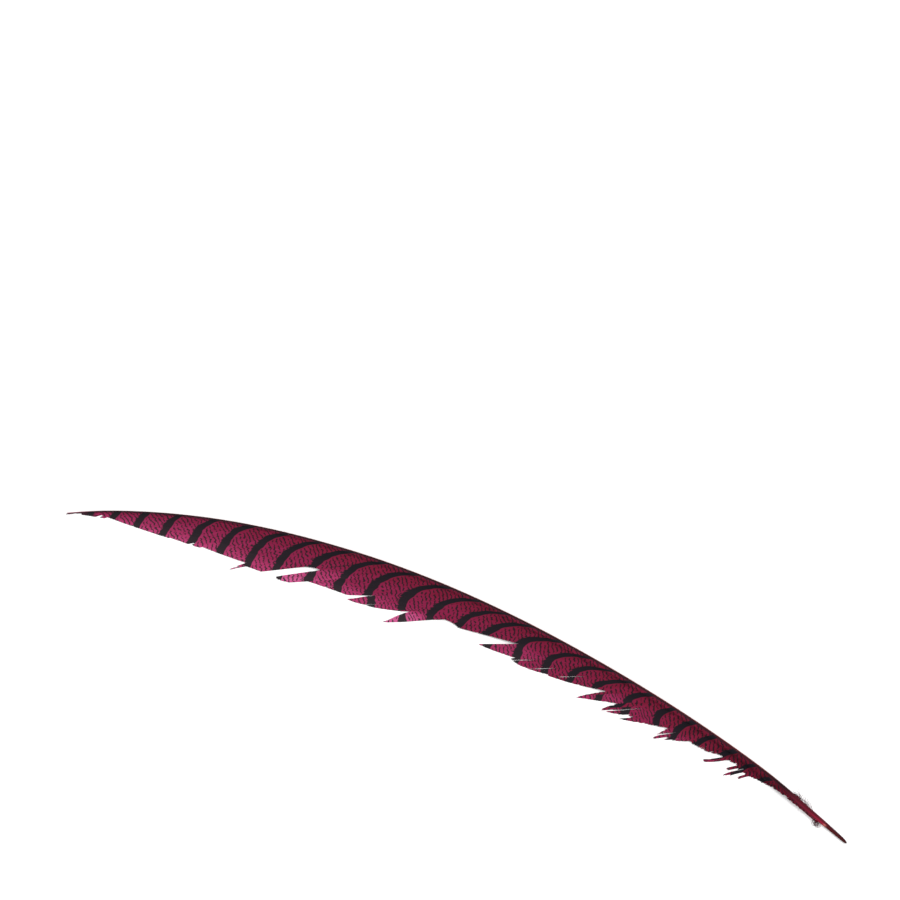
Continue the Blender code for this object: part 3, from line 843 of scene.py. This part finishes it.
def horn_material():
    material, shader = start_material("dyed_horn")
    around = add(material, "Attribute", attribute_name="round").outputs["Fac"]
    along = add(material, "Attribute", attribute_name="along").outputs["Fac"]
    top = add(material, "Attribute", attribute_name="top").outputs["Fac"]
    grown = add(material, "CombineXYZ", {0: along, 1: around, 2: top})
    stretched = add(material, "Mapping", {0: grown.outputs[0], 3: (0.05, 5.0, 5.0)})
    striated = add(material, "TexNoise", {"Vector": stretched.outputs[0], "Scale": 1.0, "Detail": 3.0})
    striae = striated.outputs["Fac"]
    at = add(material, "Math", {0: along, 1: HORN_DYED_TO}, operation="DIVIDE").outputs[0]
    bowed = add(material, "ValToRGB", {0: at})
    hollow = add(material, "ValToRGB", {0: at})
    for ramp, dyes in [(bowed, BOWED_DYES), (hollow, HOLLOW_DYES_AND_HIGHLIGHT)]:
        stops = ramp.color_ramp.elements
        stops[0].color = colour(dyes[0][1])
        stops[1].color = colour(dyes[-1][1])
        for place, hex_value in dyes[1:-1]:
            stops.new(place / HORN_DYED_TO).color = colour(hex_value)
    # the hollow side is lighter: partly dye, partly a painted highlight
    halves = add(material, "MapRange", {0: around, 1: -0.25, 2: 0.25}, interpolation_type=SMOOTH).outputs[0]
    by_side = {0: halves, 6: bowed.outputs[0], 7: hollow.outputs[0]}
    dyed_and_lit_sides = add(material, "Mix", by_side, data_type="RGBA").outputs[2]

    # the hard outer edge is tan beyond the quill, partly its own colour and partly the painted lit
    # side of the shaft, and the last of the tip is pale
    tan_and_lit_edge = add(material, "MapRange", {0: around, 1: -0.66, 2: -0.9}, interpolation_type=SMOOTH).outputs[0]
    beyond_quill = {0: along, 1: 45.0, 2: 80.0, 4: 0.7}
    bare = add(material, "MapRange", beyond_quill, interpolation_type=SMOOTH).outputs[0]
    tan_and_lit_edge = add(material, "Math", {0: tan_and_lit_edge, 1: bare}, operation="MULTIPLY").outputs[0]
    tan_and_lit_edged = {0: tan_and_lit_edge, 6: dyed_and_lit_sides, 7: colour("#8a4338")}
    tan = add(material, "Mix", tan_and_lit_edged, data_type="RGBA").outputs[2]
    at_tip = add(material, "MapRange", {0: along, 1: 545.0, 2: 572.0}, interpolation_type=SMOOTH).outputs[0]
    pale = add(material, "Mix", {0: at_tip, 6: tan, 7: colour("#a8707c")}, data_type="RGBA").outputs[2]

    # fine striations along the growth, in the colour, the relief and the gloss
    shade = add(material, "MapRange", {0: striae, 1: 0.3, 2: 0.7, 3: 0.6, 4: 1.3}).outputs[0]
    dyed = add(material, "HueSaturation", {"Color": pale, "Value": shade}).outputs[0]
    material.node_tree.links.new(dyed, shader.inputs["Base Color"])
    bump = add(material, "Bump", {"Height": striae, "Strength": 0.35, "Distance": 0.05 * MM})
    material.node_tree.links.new(bump.outputs[0], shader.inputs["Normal"])
    gloss = add(material, "MapRange", {0: striae, 1: 0.3, 2: 0.7, 3: 0.38, 4: 0.52}).outputs[0]
    material.node_tree.links.new(gloss, shader.inputs["Roughness"])
    shader.inputs["Specular IOR Level"].default_value = 0.05
    print(material.name, "has", len(material.node_tree.nodes), "nodes")
    return material


horn_dyed = horn_material()

# %% [markdown]
# ## Dyed down
# Down is dull and takes the dye unevenly, darker at its root and greyer at its fine tips.

# %% Make the down's material
def down_material():
    material, shader = start_material("dyed_down")
    share = add(material, "Attribute", attribute_name="root").outputs["Fac"]
    speckle = add(material, "TexNoise", {"Scale": 900.0, "Detail": 2.0}).outputs["Fac"]
    uneven = add(material, "Math", {0: speckle, 1: 0.5, 2: share}, operation="MULTIPLY_ADD").outputs[0]
    faded = add(material, "MapRange", {0: uneven, 1: 0.2, 2: 1.4}).outputs[0]
    root_to_tip = {0: faded, 6: colour("#380a14"), 7: colour("#4c222c")}
    dyed = add(material, "Mix", root_to_tip, data_type="RGBA").outputs[2]
    material.node_tree.links.new(dyed, shader.inputs["Base Color"])
    shader.inputs["Roughness"].default_value = 0.8
    shader.inputs["Specular IOR Level"].default_value = 0.15
    return material


down_dyed = down_material()
print(down_dyed.name)

# %% [markdown]
# ## Join the looks to the solids
# Each fine piece wears its material, rides on the feather's one body, and stands for its
# solid, which is hidden.

# %% Fit the pieces
FITTED = [
    (horn, "shaft", "horn_shaft", horn_dyed),
    (near_web, "near_vane", "dyed_web", near_material),
    (far_web, "far_vane", "dyed_web", far_material),
    (near_tuft, "near_down", "dyed_down", down_dyed),
    (far_tuft, "far_down", "dyed_down", down_dyed),
]
for piece, node, slot, material in FITTED:
    piece.data.materials.append(material)
    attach(piece, "root")
    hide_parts(node)
print("fitted:", [piece.name for piece, *_ in FITTED])

# %% [markdown]
# ## The table
# The feather lies on a plain white table, one large square that only the camera's picture
# needs.

# %% The table
TABLE_SIZE = 6.0
bm = bmesh.new()
bmesh.ops.create_grid(bm, x_segments=1, y_segments=1, size=TABLE_SIZE / 2)
table_mesh = bpy.data.meshes.new("table")
bm.to_mesh(table_mesh)
bm.free()
table = bpy.data.objects.new("table", table_mesh)
bpy.context.scene.collection.objects.link(table)
table_white, table_shader = start_material("white_table")
table_shader.inputs["Base Color"].default_value = (0.92, 0.92, 0.92, 1)
table_shader.inputs["Roughness"].default_value = 0.9
table_shader.inputs["Specular IOR Level"].default_value = 0.0
table.data.materials.append(table_white)
print("table", TABLE_SIZE, "m wide")

# %% [markdown]
# ## The light
# Soft light from two wide panels and an even white sky keeps the colours plain and the
# shadows faint. Both panels stand on the shaft's side of the feather.

# %% The light
PANEL_SIZE, PANEL_DISTANCE, PANEL_POWER = 1.8, 2.4, 37.0
SKY = 0.8
world = bpy.data.worlds.new("studio")
world.use_nodes = True
world.node_tree.nodes["Background"].inputs["Color"].default_value = (1, 1, 1, 1)
world.node_tree.nodes["Background"].inputs["Strength"].default_value = SKY
bpy.context.scene.world = world
for name, azimuth, height, power in [("key", 290, 58, 1.0), ("fill", 230, 50, 0.45)]:
    lamp = bpy.data.lights.new(name, "AREA")
    lamp.size = PANEL_SIZE
    lamp.energy = PANEL_POWER * power
    panel = bpy.data.objects.new(name, lamp)
    turn, tilt = math.radians(azimuth), math.radians(height)
    spot = Vector((math.cos(turn) * math.cos(tilt), math.sin(turn) * math.cos(tilt), math.sin(tilt)))
    panel.location = spot * PANEL_DISTANCE
    panel.rotation_euler = spot.to_track_quat("Z", "Y").to_euler()
    panel.visible_camera = False
    bpy.context.scene.collection.objects.link(panel)
bpy.context.scene.view_settings.view_transform = "Standard"
print("two panels", PANEL_SIZE, "m wide")

# %% [markdown]
# ## The camera
# The camera looks straight down from well above, which keeps the feather's shape true, and
# is turned so that the quill points to the lower right.

# %% The camera
CAMERA_SPOT = Vector((61.9 * MM, -110.6 * MM, 4 * MM))
CAMERA_DISTANCE, CAMERA_TURN = 1.655, math.radians(202.85)
lens = bpy.data.cameras.new("camera")
lens.lens = 100
lens.sensor_width = 36
camera = bpy.data.objects.new("camera", lens)
camera.location = CAMERA_SPOT + Vector((0, 0, CAMERA_DISTANCE))
camera.rotation_euler = (0, 0, CAMERA_TURN)
bpy.context.scene.collection.objects.link(camera)
bpy.context.scene.camera = camera
print("the picture is", round(CAMERA_DISTANCE * lens.sensor_width / lens.lens, 3), "m wide")
